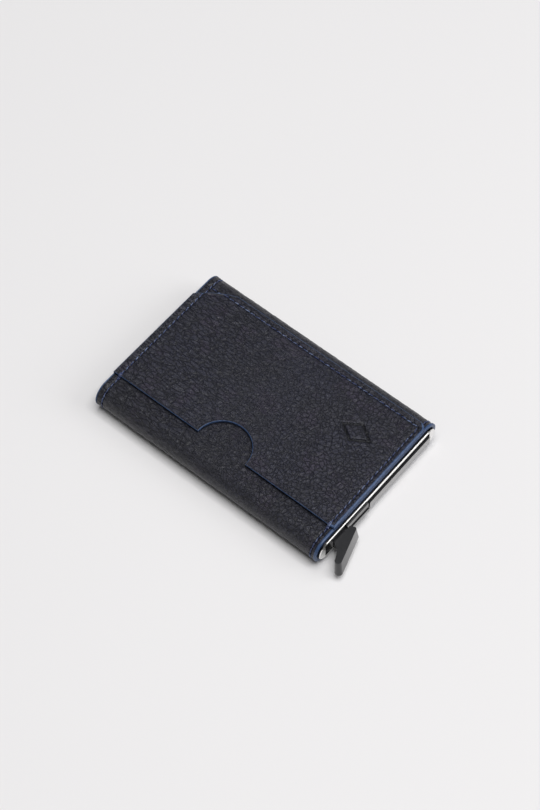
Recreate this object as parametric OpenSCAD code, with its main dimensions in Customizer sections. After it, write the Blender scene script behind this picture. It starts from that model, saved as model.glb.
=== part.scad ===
// Pop-up card holder: an aluminium card case in a stitched leather wrap with a front pocket.
// +X runs along the case towards the lever end, +Y points to the long side away from the thumb
// fin, and +Z goes up through the pocket. The origin is the centre of the flat back face.

/* [Case] */
// Length of the aluminium tube
case_l = 99; // [97:0.5:104]
// Width of the aluminium tube
case_w = 63.7; // [62:0.1:66]
// Thickness of the aluminium tube
case_t = 8.6; // [8.4:0.1:10]
// Front and back wall of the aluminium tube
case_wall = 1.1; // [0.9:0.1:1.2]
// Inside width of the tube, between the solid round sides
cavity_w = 57.2; // [55:0.1:58]
// Bright chamfer on the tube's two rims
rim_chamfer = 0.3; // [0.2:0.05:0.5]

/* [Leather cover] */
// Thickness of the leather wrap
leather_t = 1.0; // [0.8:0.1:1.4]
// Thickness of the wrap's lining
lining_t = 0.4; // [0.3:0.05:0.6]
// Thickness of the adhesive film on the tube
film_t = 0.1; // [0.08:0.01:0.15]
// How far the cover stops short of the tube's lever end
cover_setback = 0.9; // [0.5:0.1:2]
// Thickness of a painted cut edge
paint_t = 0.15; // [0.1:0.05:0.25]

/* [Pocket] */
// Thickness of the pocket panel at its sewn border
panel_t = 1.4; // [1.2:0.1:1.8]
// Y of the panel's open edge
panel_y0 = -23.1; // [-26:0.1:-20]
// Y of the panel's sewn long edge
panel_y1 = 28.4; // [26:0.1:29]
// Radius of the panel's small sewn corner, at the lever end
panel_r = 3; // [1:0.5:6]
// Radius of the wide arc that cuts the panel's sewn corner at the mouth end
arc_r = 40; // [25:1:60]
// Y where the wide arc meets the mouth end
arc_y = 19.5; // [14:0.1:22]
// X where the wide arc meets the sewn long edge
arc_x = -36; // [-40:0.1:-30]
// Radius of the thumb notch
notch_r = 10.4; // [8:0.1:12]
// X of the thumb notch's centre
notch_x = -0.6; // [-10:0.1:10]
// Width of the sewn border that stays full thickness
border_w = 4; // [3.5:0.5:6]
// Thickness of the panel's lining
panel_lining_t = 0.3; // [0.2:0.05:0.4]
// Slit that holds notes, between the panel's lining and the wrap
slit_t = 0.15; // [0.1:0.05:0.2]

/* [Stitching] */
// Distance from a stitch line to the edge beside it
stitch_inset = 2.4; // [2:0.1:3]
// Distance from the mouth's stitch line to the mouth
mouth_inset = 2.8; // [2:0.1:3.5]
// Distance from one stitch to the next
stitch_pitch = 2.4; // [2:0.1:3.5]
// Length of one stitch
stitch_l = 1.8; // [1.2:0.1:1.9]
// Thickness of the thread
thread_t = 0.3; // [0.2:0.05:0.4]

/* [Lever] */
// Swing of the lever, for display
lever_angle = 0; // [0:1:35]
// Distance of the pivot from the tube's lever end
pivot_inset = 4.5; // [4.2:0.1:5]
// Y of the lever's pivot
pivot_y = -23.7; // [-24.5:0.1:-23]
// Thickness of the lever's plate
lever_t = 5.2; // [4.8:0.1:5.2]
// Radius of the pivot pin and the block's pins
pin_r = 1.5; // [1.2:0.1:1.6]
// Y that the longest step of the inner arm reaches
arm_reach = 8; // [6:0.5:12]
// Number of steps on the inner arm, one for each card
step_count = 5; // [3:1:6]

/* [Hidden] */
$fn = 48;

// Small allowance that carries a cut clear of a face
over = 0.5;
// Running clearance of the pivot, and of the lever between the block's cheeks
run_gap = 0.05;

// Ends of the tube and of its cover
mouth_x = -case_l / 2;
lever_x = case_l / 2;
cover_x1 = lever_x - cover_setback;

// Height of each layer, counted from the back face
cover_t = film_t + lining_t + leather_t;
mid_z = cover_t + case_t / 2;
cavity_t = case_t - 2 * case_wall;
wrap_t = case_t + 2 * cover_t;
wrap_w = case_w + 2 * cover_t;
panel_z1 = wrap_t + panel_t;
pocket_x0 = mouth_x;
pocket_x1 = cover_x1;
flat_y = (case_w - case_t) / 2;

// Base block
block_x0 = lever_x - 6.5;
block_x1 = lever_x + 0.4;
block_side_gap = 0.1;
slot_y = -5.1;
recess_h = 2.2;
recess_x0 = lever_x - 1;
cheek_r = 5.2;
bridge_w = 2.4;
pin_ys = [3, 22];
block_pin_x = lever_x - 3;

// Lever
pivot = [lever_x - pivot_inset, pivot_y];
hub_r = 3.4;
arm_w = 3.8;
arm_x0 = block_x0 - 0.4 - arm_w;
neck_x = lever_x + 0.6;
neck_y = -6.2;
ledge_t = 2.1;
ledge_w = 0.4;
fin_t = 5.7;
fin_slice_t = 0.3;

// Friction pads
pad = [30, 40, 0.6];
pad_x0 = mouth_x + 8;

// Stitch lines
groove_w = 0.6;
line_x0 = mouth_x + mouth_inset;
line_x1 = cover_x1 - stitch_inset;
line_y1 = panel_y1 - stitch_inset;

// Centre of the wide arc at the panel's corner
arc_chord = [arc_x - pocket_x0, panel_y1 - arc_y];
arc_rise = sqrt(pow(arc_r, 2) - pow(norm(arc_chord) / 2, 2));
arc_c = [pocket_x0, arc_y] + arc_chord / 2
    + arc_rise / norm(arc_chord) * [arc_chord.y, -arc_chord.x];

// Y where the mouth end's stitch line steps down over the arc, and X where the far one does
mouth_step_y = arc_c.y + sqrt(pow(arc_r, 2) - pow(line_x0 - arc_c.x, 2));
far_step_x = arc_c.x - sqrt(pow(arc_r, 2) - pow(line_y1 - arc_c.y, 2));
step_gap = 0.3;

// How far the thumb notch's centre lies inside the panel's open edge
notch_in = 0.3;

// A flat bar with round sides, from x0 to x1, centred on the tube
module bar(x0, x1, w, t) {
    translate([x0, 0, mid_z]) rotate([90, 0, 90]) linear_extrude(x1 - x0) union() {
        square([w - t, t], center = true);
        for (side = [-1, 1]) translate([side * (w - t) / 2, 0]) circle(d = t);
    }
}

// The space between two nested bars: one layer round the tube
module layer(x0, x1, depth, thick) {
    difference() {
        bar(x0, x1, wrap_w - 2 * depth, wrap_t - 2 * depth);
        bar(x0 - over, x1 + over, wrap_w - 2 * (depth + thick), wrap_t - 2 * (depth + thick));
    }
}

// A bar whose outer end edges are chamfered by c
module chamfered_bar(x0, x1, w, t, c) {
    x_in = x1 - x0 - c;
    profile = [[0, c - t / 2], [c, -t / 2], [x_in, -t / 2], [x_in + c, c - t / 2],
        [x_in + c, t / 2 - c], [x_in, t / 2], [c, t / 2], [0, t / 2 - c]];
    translate([x0, 0, mid_z]) {
        rotate([90, 0, 0]) linear_extrude(w - t, center = true) polygon(profile);
        for (side = [-1, 1]) translate([0, side * (w - t) / 2, 0]) rotate([0, 90, 0]) {
            cylinder(h = c, r1 = t / 2 - c, r2 = t / 2);
            translate([0, 0, c]) cylinder(h = x_in - c, r = t / 2);
            translate([0, 0, x_in]) cylinder(h = c, r1 = t / 2, r2 = t / 2 - c);
        }
    }
}

// Upright holes or pins at the block's two retaining positions
module at_block_pins() {
    for (y = pin_ys) translate([block_pin_x, y, 0]) children();
}

// A pin that runs from the tube's back face to its front face
module case_pin() {
    translate([0, 0, cover_t]) cylinder(h = case_t, r = pin_r);
}

module pin_hole() {
    translate([0, 0, cover_t - over]) cylinder(h = case_t + 2 * over, r = pin_r + run_gap);
}

module card_case() {
    color("silver") difference() {
        chamfered_bar(mouth_x, lever_x, case_w, case_t, rim_chamfer);
        translate([mouth_x - over, -cavity_w / 2, mid_z - cavity_t / 2])
            cube([case_l + 2 * over, cavity_w, cavity_t]);
        translate(pivot) pin_hole();
        at_block_pins() pin_hole();
    }
}

// Plan of the two thin cheeks that carry the pivot: a disc and a bridge back to the block
module cheek_plan() {
    intersection() {
        union() {
            translate(pivot) circle(cheek_r);
            translate([block_x0, pivot.y]) square([bridge_w, slot_y - pivot.y]);
        }
        translate([block_x0, -case_w]) square([lever_x - rim_chamfer - block_x0, 2 * case_w]);
    }
}

module base_block() {
    slot_t = lever_t + 2 * run_gap;
    block_w = cavity_w - 2 * block_side_gap;
    color("dimgray") difference() {
        intersection() {
            translate([block_x0, -block_w / 2, mid_z - cavity_t / 2])
                cube([block_x1 - block_x0, block_w, cavity_t]);
            union() {
                translate([block_x0, slot_y, 0]) cube([block_x1 - block_x0, case_w, wrap_t]);
                linear_extrude(wrap_t) cheek_plan();
            }
        }
        translate([block_x0 - over, slot_y - case_w, mid_z - slot_t / 2])
            cube([block_x1 - block_x0 + 2 * over, case_w, slot_t]);
        // Shadow recess along the top of the block's end
        translate([recess_x0, slot_y - over, mid_z + cavity_t / 2 - recess_h])
            cube([case_wall + 2 * over, case_w, recess_h + over]);
        translate(pivot) pin_hole();
        at_block_pins() pin_hole();
    }
}

// Plate of the lever, without its stepped arm: the hub, and the web behind the slot
module lever_web() {
    hull() {
        translate(pivot) circle(hub_r);
        translate([arm_x0 + 1, neck_y - 6]) circle(1);
        translate([neck_x - 1.2, pivot.y]) circle(1.2);
        translate([arm_x0, neck_y - 1]) square([neck_x - arm_x0, 1]);
    }
}

// Slice of the thumb fin at one height, from circles given as [x past the tube, y, radius]
module fin_slice(z, root_in, root_out, tip) {
    for (c = [root_in, root_out, tip, [1.5, -25.1, 0.5]]) translate([lever_x + c.x, c.y, z])
        cylinder(h = fin_slice_t, r = c.z, $fn = 32);
}

// Thumb fin: a blade that slants out to a round tip, leans out towards the back face, and is
// hollowed on the side that faces the case
module fin() {
    z0 = mid_z - fin_t / 2;
    difference() {
        hull() {
            fin_slice(z0, [1.6, -17.4, 0.5], [3.8, -16.6, 0.7], [7.4, -30.8, 1.5]);
            fin_slice(z0 + fin_t - fin_slice_t, [1.6, -17.4, 0.5], [3, -17.1, 0.7],
                [6.3, -29.9, 1.3]);
        }
        translate([lever_x - 2.7, -33.1, z0 - over]) cylinder(h = fin_t + 2 * over, r = 8.4);
    }
}

// Inner arm: each card has its own step, and the step nearest the back reaches furthest
module stepped_arm() {
    step_t = lever_t / step_count;
    step_y = 3;
    for (i = [0 : step_count - 1]) translate([arm_x0, 0, mid_z - lever_t / 2 + i * step_t]) {
        y_end = arm_reach - i * step_y;
        translate([0, neck_y - 1, 0]) cube([arm_w, y_end - neck_y + 1, step_t]);
        translate([arm_w / 2, y_end, 0]) cylinder(h = step_t, d = arm_w);
    }
}

module eject_lever() {
    groove_t = 1.5;
    link_t = lever_t - groove_t;
    color("#2b2c30") translate(concat(pivot, 0)) rotate(lever_angle) translate(-concat(pivot, 0))
        difference() {
            union() {
                translate([0, 0, mid_z - lever_t / 2]) linear_extrude(lever_t) lever_web();
                // Ledge along the neck's outer face
                translate([neck_x - 1, pivot.y + 1, mid_z - lever_t / 2])
                    cube([1 + ledge_w, neck_y - pivot.y - 1, ledge_t]);
                // Low link that joins the web to the fin
                translate([neck_x - 1, -24.7, mid_z - lever_t / 2]) cube([2.5, 7.5, link_t]);
                fin();
                stepped_arm();
            }
            // Groove between the web and the fin
            translate([neck_x - 1.2, pivot.y - hub_r - 1, mid_z - lever_t / 2 + link_t])
                cube([1.85, hub_r + 7, 2 * groove_t]);
            translate(pivot) pin_hole();
        }
}

module lever_pivot_pin() {
    color("lightsteelblue") translate(pivot) case_pin();
}

module block_retaining_pins() {
    color("lightsteelblue") at_block_pins() case_pin();
}

module front_friction_pad() {
    color("#3a3a3f") translate([pad_x0, -pad.y / 2, mid_z + cavity_t / 2 - pad.z]) cube(pad);
}

module back_friction_pad() {
    color("#3a3a3f") translate([pad_x0, -pad.y / 2, mid_z - cavity_t / 2]) cube(pad);
}

module wrap_adhesive() {
    color("lightgray") layer(mouth_x + over, cover_x1 - over, leather_t + lining_t, film_t);
}

module wrap_lining() {
    color("#1e2230") layer(mouth_x + paint_t, cover_x1 - paint_t, leather_t, lining_t);
}

// Channel that sinks an end stitch line into the wrap, all the way round
module wrap_groove(x) {
    layer(x - groove_w / 2, x + groove_w / 2, -over, over + thread_t + run_gap);
}

module leather_wrap() {
    seam_w = 0.2;
    color("#23252f") difference() {
        layer(mouth_x + paint_t, cover_x1 - paint_t, 0, leather_t);
        for (x = [line_x0, line_x1]) wrap_groove(x);
        // Channel for the far stitch line where it leaves the panel
        translate([line_x0, line_y1 - groove_w / 2, wrap_t - thread_t - run_gap])
            cube([far_step_x - line_x0 + step_gap, groove_w, over + thread_t]);
        // Butt seam, hidden under the pocket
        translate([mouth_x, -seam_w / 2, mid_z]) cube([case_l, seam_w, wrap_t]);
    }
}

// Plan of the panel inside its three sewn edges, moved in by d from them: one small round
// corner, one wide arc across the other corner, and no limit at the open edge
module sewn_plan(d) {
    r = max(panel_r - d, 0.5);
    x0 = pocket_x0 + d;
    x1 = pocket_x1 - d;
    y0 = panel_y0 - over;
    y1 = panel_y1 - d;
    difference() {
        union() {
            translate([x0, y0]) square([x1 - x0, y1 - r - y0]);
            translate([x0, y0]) square([x1 - r - x0, y1 - y0]);
            translate([x1 - r, y1 - r]) circle(r);
        }
        difference() {
            translate([arc_c.x - case_l, arc_c.y]) square([case_l, case_w]);
            translate(arc_c) circle(arc_r - d, $fn = 240);
        }
    }
}

// Outline of the pocket panel, moved in by d from every edge
module panel_outline(d = 0) {
    difference() {
        intersection() {
            sewn_plan(d);
            translate([mouth_x, panel_y0 + d]) square([case_l, case_w]);
        }
        translate([notch_x, panel_y0 + notch_in]) circle(notch_r + d);
    }
}

// Plan of the channel for the panel's stitches: along both ends and the sewn long edge
module stitch_channel_plan() {
    y0 = panel_y0 - over;
    for (x = [line_x0, line_x1]) translate([x - groove_w / 2, y0])
        square([groove_w, line_y1 + groove_w / 2 - y0]);
    translate([line_x0, line_y1 - groove_w / 2]) square([line_x1 - line_x0, groove_w]);
}

module pocket_panel() {
    flap_t = panel_t - panel_lining_t - slit_t;
    color("#23252f") difference() {
        translate([0, 0, wrap_t]) linear_extrude(panel_t) panel_outline(paint_t);
        // Thinner over the pocket, which runs out through the open edge
        translate([0, 0, wrap_t - over]) linear_extrude(over + panel_t - flap_t)
            sewn_plan(border_w);
        translate([0, 0, panel_z1 - thread_t - run_gap]) linear_extrude(over + thread_t)
            stitch_channel_plan();
    }
}

module pocket_lining() {
    color("#1e2230") translate([0, 0, wrap_t + slit_t]) linear_extrude(panel_lining_t)
        intersection() {
            sewn_plan(border_w);
            panel_outline(paint_t);
        }
}

// One stitch along Y, its top at the origin
module stitch() {
    translate([-thread_t / 2, -stitch_l / 2, -thread_t]) cube([thread_t, stitch_l, thread_t]);
}

// Stitches spaced evenly along Y from y0 to y1, with their tops at height z
module stitch_row(x, y0, y1, z) {
    count = max(1, round((y1 - y0) / stitch_pitch));
    step = (y1 - y0) / count;
    for (i = [0 : count - 1]) translate([x, y0 + (i + 0.5) * step, z]) stitch();
}

// Stitches round one of the wrap's two round sides, without the first few; side is -1 or 1
module stitch_side(x, side, skip = 0) {
    r = wrap_t / 2;
    count = round(PI * r / stitch_pitch);
    for (i = [skip : count - 1]) translate([x, side * flat_y, mid_z])
        rotate([-side * (i + 0.5) * 180 / count, 0, 0]) translate([0, 0, r - 0.08]) stitch();
}

// An end line's stitches on the back and round the near side, which both ends share
module end_line_back(x) {
    translate([0, 0, wrap_t]) mirror([0, 0, 1]) stitch_row(x, -flat_y, flat_y, wrap_t);
    stitch_side(x, -1);
}

// The line steps down from the panel to the wrap over the wide arc, then rounds the far side
module mouth_end_stitching() {
    color("midnightblue") {
        stitch_row(line_x0, panel_y0 + 1.2, mouth_step_y - step_gap, panel_z1);
        stitch_row(line_x0, mouth_step_y + step_gap, flat_y, wrap_t);
        stitch_side(line_x0, 1);
        end_line_back(line_x0);
    }
}

// The line stays on the panel up to the far stitch line
module lever_end_stitching() {
    color("midnightblue") {
        stitch_row(line_x1, panel_y0 + 1.2, line_y1 - groove_w / 2, panel_z1);
        stitch_side(line_x1, 1, 1);
        end_line_back(line_x1);
    }
}

// The panel's long stitch line, which carries on over the wrap at the wide arc
module pocket_far_stitching() {
    color("midnightblue") translate([0, line_y1, 0]) rotate(-90) {
        stitch_row(0, far_step_x + step_gap, line_x1 - groove_w / 2, panel_z1);
        stitch_row(0, line_x0 + groove_w / 2, far_step_x - step_gap, wrap_t);
    }
}

// Short doubled stitches that step down from the panel onto the wrap
module bar_tacks() {
    y = panel_y0;
    drop = [[y + 0.9, panel_z1 - thread_t], [y + 0.9, panel_z1], [y - 0.35, panel_z1],
        [y - 0.35, wrap_t], [y - 1.3, wrap_t], [y - 1.3, wrap_t - thread_t],
        [y - 0.05, wrap_t - thread_t], [y - 0.05, panel_z1 - thread_t]];
    color("midnightblue") for (x = [line_x0, line_x1]) translate([x - thread_t / 2, 0, 0])
        rotate([90, 0, 90]) linear_extrude(thread_t) polygon(drop);
}

module mouth_edge_paint() {
    color("steelblue") layer(mouth_x, mouth_x + paint_t, 0, leather_t + lining_t);
}

module lever_edge_paint() {
    color("steelblue") layer(cover_x1 - paint_t, cover_x1, 0, leather_t + lining_t);
}

// A bead round the panel, left open where a bar tack crosses the edge
module pocket_edge_paint() {
    color("steelblue") translate([0, 0, wrap_t]) linear_extrude(panel_t) difference() {
        panel_outline();
        panel_outline(paint_t);
        for (x = [line_x0, line_x1]) translate([x, panel_y0]) square(groove_w, center = true);
    }
}

card_case();
base_block();
eject_lever();
lever_pivot_pin();
block_retaining_pins();
front_friction_pad();
back_friction_pad();
wrap_adhesive();
wrap_lining();
leather_wrap();
pocket_panel();
pocket_lining();
mouth_end_stitching();
lever_end_stitching();
pocket_far_stitching();
bar_tacks();
mouth_edge_paint();
lever_edge_paint();
pocket_edge_paint();
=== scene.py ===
"""Pop-up card holder: leather wrap, stitched pocket, aluminium case and thumb lever.

Sizes are in millimetres here and are scaled to metres as each mesh is made. The frame gives
every position; the named values below are the details that a bounding box doesn't hold.
"""
import math

import bmesh
import bpy
import numpy as np
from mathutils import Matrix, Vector, noise
from mathutils.geometry import delaunay_2d_cdt


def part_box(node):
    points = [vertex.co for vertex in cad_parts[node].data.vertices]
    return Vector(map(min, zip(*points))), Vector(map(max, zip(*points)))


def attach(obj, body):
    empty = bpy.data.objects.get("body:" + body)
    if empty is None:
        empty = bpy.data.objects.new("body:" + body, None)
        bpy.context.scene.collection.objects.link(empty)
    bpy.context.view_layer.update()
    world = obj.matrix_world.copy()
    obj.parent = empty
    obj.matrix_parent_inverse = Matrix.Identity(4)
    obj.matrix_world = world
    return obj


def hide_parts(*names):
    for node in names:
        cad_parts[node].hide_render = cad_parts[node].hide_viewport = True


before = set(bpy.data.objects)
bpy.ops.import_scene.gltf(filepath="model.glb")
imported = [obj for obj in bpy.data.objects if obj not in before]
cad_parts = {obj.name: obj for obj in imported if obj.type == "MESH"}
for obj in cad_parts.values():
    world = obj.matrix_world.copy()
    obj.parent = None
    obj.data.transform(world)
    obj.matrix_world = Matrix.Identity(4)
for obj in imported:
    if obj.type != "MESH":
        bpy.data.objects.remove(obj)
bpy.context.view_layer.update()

MM = 0.001
NOISE_SEED = 7
noise.seed_set(NOISE_SEED)

# Camera and stage
CAMERA_AZIMUTH = 39.39
CAMERA_ELEVATION = 58.33
CAMERA_DISTANCE = 0.80356
CAMERA_TARGET = (-0.00364, 0.00673, 0)
CAMERA_LENS = 101.835
FLOOR_SIZE = 6

# Leather details
MESH_STEP = 0.32
CORNER_R = 3
ARC_R = 40
ARC_Y = 19.5
ARC_X = -36.0
NOTCH_R = 10.4
NOTCH_X = -0.6
NOTCH_RISE = 0.3
POCKET_BORDER = 4
EDGE_ROUND = 0.4
PANEL_LIFT = 0.16
PANEL_SINK = 0.24
PANEL_SWELL = 0.10
LEVER_ROLL = 0.6
HIDE_LEVEL = 0.30
WRAP_DEEPEST = 0.85
PANEL_DEEPEST = 0.80
# Relief depths over which painted shade darkens the leather in its hollows
HOLLOW_SHADE_FROM = 0.30
HOLLOW_SHADE_FULL = 0.62

# Painted edges: how far each laps over the hide, and the gap under the pocket's open edge
OPEN_GAP = 0.32
OPEN_LAP = 0.16
SIDE_LAP = 0.28
LEVER_LAP = 1.0
COVER_MOUTH_LAP = 0.5
COVER_LEVER_LAP = 0.9

# Hard parts
RIM_CHAMFER = 0.26
RIM_INNER = 0.12
BEVEL_ANGLE = math.radians(24)

# Stitching
STITCH_INSET = 2.4
MOUTH_INSET = 2.8
STITCH_PITCH = 2.4
STITCH_LENGTH = 2.0
STITCH_SINK = 0.30
THREAD_R = 0.15
PLY_OFFSET = 0.10
STITCH_SLANT = math.radians(7)
GROOVE_DEPTH = 0.26
GROOVE_WIDTH = 0.46
HOLE_WIDTH = 0.30
HOLE_DEPTH = 0.50

# Pressed mark on the panel
MARK_AT = (31.0, 11.0)
MARK_SIZE = (5.8, 3.8)
MARK_DEPTH = 0.60
MARK_LINE = 0.15


def box_mm(node):
    """Lowest and highest corner of a CAD node, in millimetres."""
    lo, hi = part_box(node)
    return Vector(lo) / MM, Vector(hi) / MM


CASE_LO, CASE_HI = box_mm("card_case")
WRAP_LO, WRAP_HI = box_mm("leather_wrap")
LINING_LO, LINING_HI = box_mm("wrap_lining")
FILM_LO, FILM_HI = box_mm("wrap_adhesive")
PANEL_LO, PANEL_HI = box_mm("pocket_edge_paint")
MOUTH_X = box_mm("mouth_edge_paint")[0].x
COVER_X = box_mm("lever_edge_paint")[1].x
MID_Z = (CASE_LO.z + CASE_HI.z) / 2
CASE_R = (CASE_HI.z - CASE_LO.z) / 2
WRAP_R = (WRAP_HI.z - WRAP_LO.z) / 2
LINING_R = (LINING_HI.z - LINING_LO.z) / 2
FILM_R = (FILM_HI.z - FILM_LO.z) / 2
FLAT_Y = WRAP_HI.y - WRAP_R
LINE_X = (MOUTH_X + MOUTH_INSET, COVER_X - STITCH_INSET)
LINE_Y = PANEL_HI.y - STITCH_INSET


def arc_centre():
    """Centre of the wide arc that cuts the panel's corner at the mouth end."""
    start = Vector((PANEL_LO.x, ARC_Y))
    chord = Vector((ARC_X, PANEL_HI.y)) - start
    rise = math.sqrt(ARC_R ** 2 - chord.length_squared / 4)
    return start + chord / 2 + Vector((chord.y, -chord.x)).normalized() * rise


ARC = arc_centre()
MOUTH_STEP_Y = ARC.y + math.sqrt(ARC_R ** 2 - (LINE_X[0] - ARC.x) ** 2)
FAR_STEP_X = ARC.x - math.sqrt(ARC_R ** 2 - (LINE_Y - ARC.y) ** 2)


# ---------------------------------------------------------------- materials

class Graph:
    """A material's node tree, with short calls to add and link nodes."""

    def __init__(self, name):
        self.material = bpy.data.materials.new(name)
        self.material.use_nodes = True
        self.tree = self.material.node_tree
        self.shader = self.tree.nodes["Principled BSDF"]
        coords = self.add("ShaderNodeTexCoord")
        self.mm = self.math_vector("MULTIPLY", coords.outputs["Object"], (1 / MM,) * 3)

    def add(self, kind, **inputs):
        node = self.tree.nodes.new(kind)
        for key, value in inputs.items():
            self.put(node.inputs[key.replace("_", " ")], value)
        return node

    def put(self, socket, value):
        if isinstance(value, bpy.types.NodeSocket):
            self.tree.links.new(value, socket)
        else:
            socket.default_value = value

    def math_vector(self, operation, a, b):
        node = self.tree.nodes.new("ShaderNodeVectorMath")
        node.operation = operation
        self.put(node.inputs[0], a)
        self.put(node.inputs[1], b)
        return node.outputs[0]

    def math(self, operation, a, b):
        node = self.tree.nodes.new("ShaderNodeMath")
        node.operation = operation
        self.put(node.inputs[0], a)
        self.put(node.inputs[1], b)
        return node.outputs[0]

    def noise(self, scale, detail=2.0, vector=None, roughness=0.5):
        node = self.add("ShaderNodeTexNoise", Scale=scale, Detail=detail, Roughness=roughness)
        self.put(node.inputs["Vector"], vector or self.mm)
        return node

    def cells(self, scale, vector):
        node = self.tree.nodes.new("ShaderNodeTexVoronoi")
        node.feature = "DISTANCE_TO_EDGE"
        self.put(node.inputs["Scale"], scale)
        self.put(node.inputs["Vector"], vector)
        return node.outputs["Distance"]

    def spread(self, value, low, high, to_low=0.0, to_high=1.0):
        """Maps low..high to to_low..to_high, smoothly and clamped."""
        node = self.tree.nodes.new("ShaderNodeMapRange")
        node.interpolation_type = "SMOOTHSTEP"
        for index, number in enumerate((value, low, high, to_low, to_high)):
            self.put(node.inputs[index], number)
        return node.outputs[0]

    def mix(self, factor, a, b):
        node = self.tree.nodes.new("ShaderNodeMix")
        node.data_type = "RGBA"
        self.put(node.inputs[0], factor)
        self.put(node.inputs[6], (*a, 1) if isinstance(a, tuple) else a)
        self.put(node.inputs[7], (*b, 1) if isinstance(b, tuple) else b)
        return node.outputs[2]

    def blend(self, factor, a, b):
        """Number between a and b."""
        return self.math("ADD", a, self.math("MULTIPLY", factor, self.math("SUBTRACT", b, a)))

    def mapped(self, vector, scale, turn):
        node = self.tree.nodes.new("ShaderNodeMapping")
        self.put(node.inputs["Vector"], vector)
        node.inputs["Scale"].default_value = scale
        node.inputs["Rotation"].default_value = (0, 0, turn)
        return node.outputs[0]

    def bump(self, height, distance, strength=1.0):
        node = self.add("ShaderNodeBump", Height=height, Distance=distance, Strength=strength)
        self.put(self.shader.inputs["Normal"], node.outputs[0])

    def set(self, **values):
        for key, value in values.items():
            if isinstance(value, tuple):
                value = (*value, 1)
            self.put(self.shader.inputs[key.replace("_", " ")], value)
        return self.material


def leather_material(name, shade_tone, coat):
    """Hide: creased cells drawn out along the case towards the mouth and round at the lever end."""
    g = Graph(name)

    # Scales each colour by the copy's tone, which on the wrap is painted shade
    def dye_and_shade(red, green, blue):
        return red * shade_tone, green * shade_tone, blue * shade_tone

    hollow_shade_attribute = g.tree.nodes.new("ShaderNodeAttribute")
    hollow_shade_attribute.attribute_name = "hollow_shade"
    drift = g.noise(0.28, 3).outputs["Color"]
    drift = g.math_vector("SUBTRACT", drift, (0.5,) * 3)
    bent = g.math_vector("ADD", g.mm, g.math_vector("MULTIPLY", drift, (3.4,) * 3))
    flowing = g.math_vector("ADD", g.mm, g.math_vector("MULTIPLY", drift, (4.5, 2.4, 2.4)))
    long_cells = g.mapped(flowing, (0.34, 1.0, 1.0), math.radians(-12))
    creases_long = g.spread(g.cells(0.72, long_cells), 0.0, 0.19)
    creases_round = g.spread(g.cells(0.62, bent), 0.0, 0.17)
    place = g.tree.nodes.new("ShaderNodeSeparateXYZ")
    g.put(place.inputs[0], g.mm)
    toward_lever = g.spread(place.outputs[0], -32, 26)
    creases = g.blend(toward_lever, creases_long, creases_round)
    fine = g.spread(g.cells(1.45, bent), 0.0, 0.22)
    pores = g.noise(1.9, 4, roughness=0.6).outputs[0]
    height = g.math("MULTIPLY", creases, 0.65)
    height = g.math("ADD", height, g.math("MULTIPLY", fine, 0.30))
    height = g.math("ADD", height, g.math("MULTIPLY", pores, 0.75))
    g.bump(height, 0.30 * MM, 1.0)
    cloud = g.spread(g.noise(0.07, 3).outputs[0], 0.35, 0.65)
    patch = g.spread(g.noise(0.13, 2, vector=g.math_vector("ADD", g.mm, (37, 5, 0))).outputs[0],
                     0.50, 0.68)
    base = g.mix(cloud, dye_and_shade(0.0215, 0.0220, 0.0310), dye_and_shade(0.0230, 0.0240, 0.0400))
    base = g.mix(patch, base, dye_and_shade(0.0300, 0.0250, 0.0430))
    # Painted highlight: the raised points of the pore grain are coloured lighter
    lit_tops = g.mix(g.spread(pores, 0.45, 0.70), base, dye_and_shade(0.0400, 0.0415, 0.0640))
    # Painted shade: the crease lines between the cells are coloured darker
    lines = g.mix(g.math("MULTIPLY", creases, g.spread(fine, 0.0, 1.0, 0.72, 1.0)),
                  dye_and_shade(0.0085, 0.0090, 0.0150), lit_tops)
    # Painted shade: the leather turns near-black in the hollows stored on the mesh (grooves, needle
    # holes, deep creases)
    dye_and_painted_light = g.mix(hollow_shade_attribute.outputs["Fac"], lines, (0.0040, 0.0045, 0.0075))
    rough = g.spread(pores, 0.3, 0.7, 0.34, 0.56)
    return g.set(Base_Color=dye_and_painted_light, Roughness=rough, Specular_IOR_Level=0.38,
                 Coat_Weight=coat, Coat_Roughness=0.20)


def edge_paint_material():
    g = Graph("edge_paint")
    cloud = g.noise(0.8, 3).outputs[0]
    g.bump(g.noise(3.5, 2).outputs[0], 0.05 * MM, 0.6)
    blue = g.mix(g.spread(cloud, 0.3, 0.7), (0.024, 0.050, 0.118), (0.040, 0.080, 0.180))
    return g.set(Base_Color=blue, Roughness=g.spread(cloud, 0.3, 0.7, 0.34, 0.46))


def thread_material():
    g = Graph("thread")
    fibres = g.noise(9, 2).outputs[0]
    g.bump(fibres, 0.03 * MM, 0.6)
    # Painted highlight: paler patches along the threads stand for glints
    glint_patches = g.spread(g.noise(0.9, 1).outputs[0], 0.45, 0.65)
    dark = g.mix(fibres, (0.010, 0.018, 0.070), (0.030, 0.048, 0.150))
    light = g.mix(fibres, (0.050, 0.075, 0.170), (0.200, 0.250, 0.400))
    return g.set(Base_Color=g.mix(glint_patches, dark, light), Roughness=0.34, Specular_IOR_Level=0.8)


def lining_material():
    g = Graph("lining")
    weave = g.tree.nodes.new("ShaderNodeTexWave")
    g.put(weave.inputs["Vector"], g.mm)
    g.put(weave.inputs["Scale"], 2.2)
    g.bump(weave.outputs[1], 0.04 * MM, 0.7)
    shade = g.mix(weave.outputs[1], (0.008, 0.009, 0.018), (0.018, 0.020, 0.036))
    return g.set(Base_Color=shade, Roughness=0.85, Sheen_Weight=0.3)


def film_material():
    g = Graph("adhesive_film")
    mottle = g.noise(1.2, 2).outputs[0]
    return g.set(Base_Color=g.mix(mottle, (0.10, 0.10, 0.10), (0.16, 0.16, 0.15)),
                 Roughness=g.spread(mottle, 0.3, 0.7, 0.4, 0.6))


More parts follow.
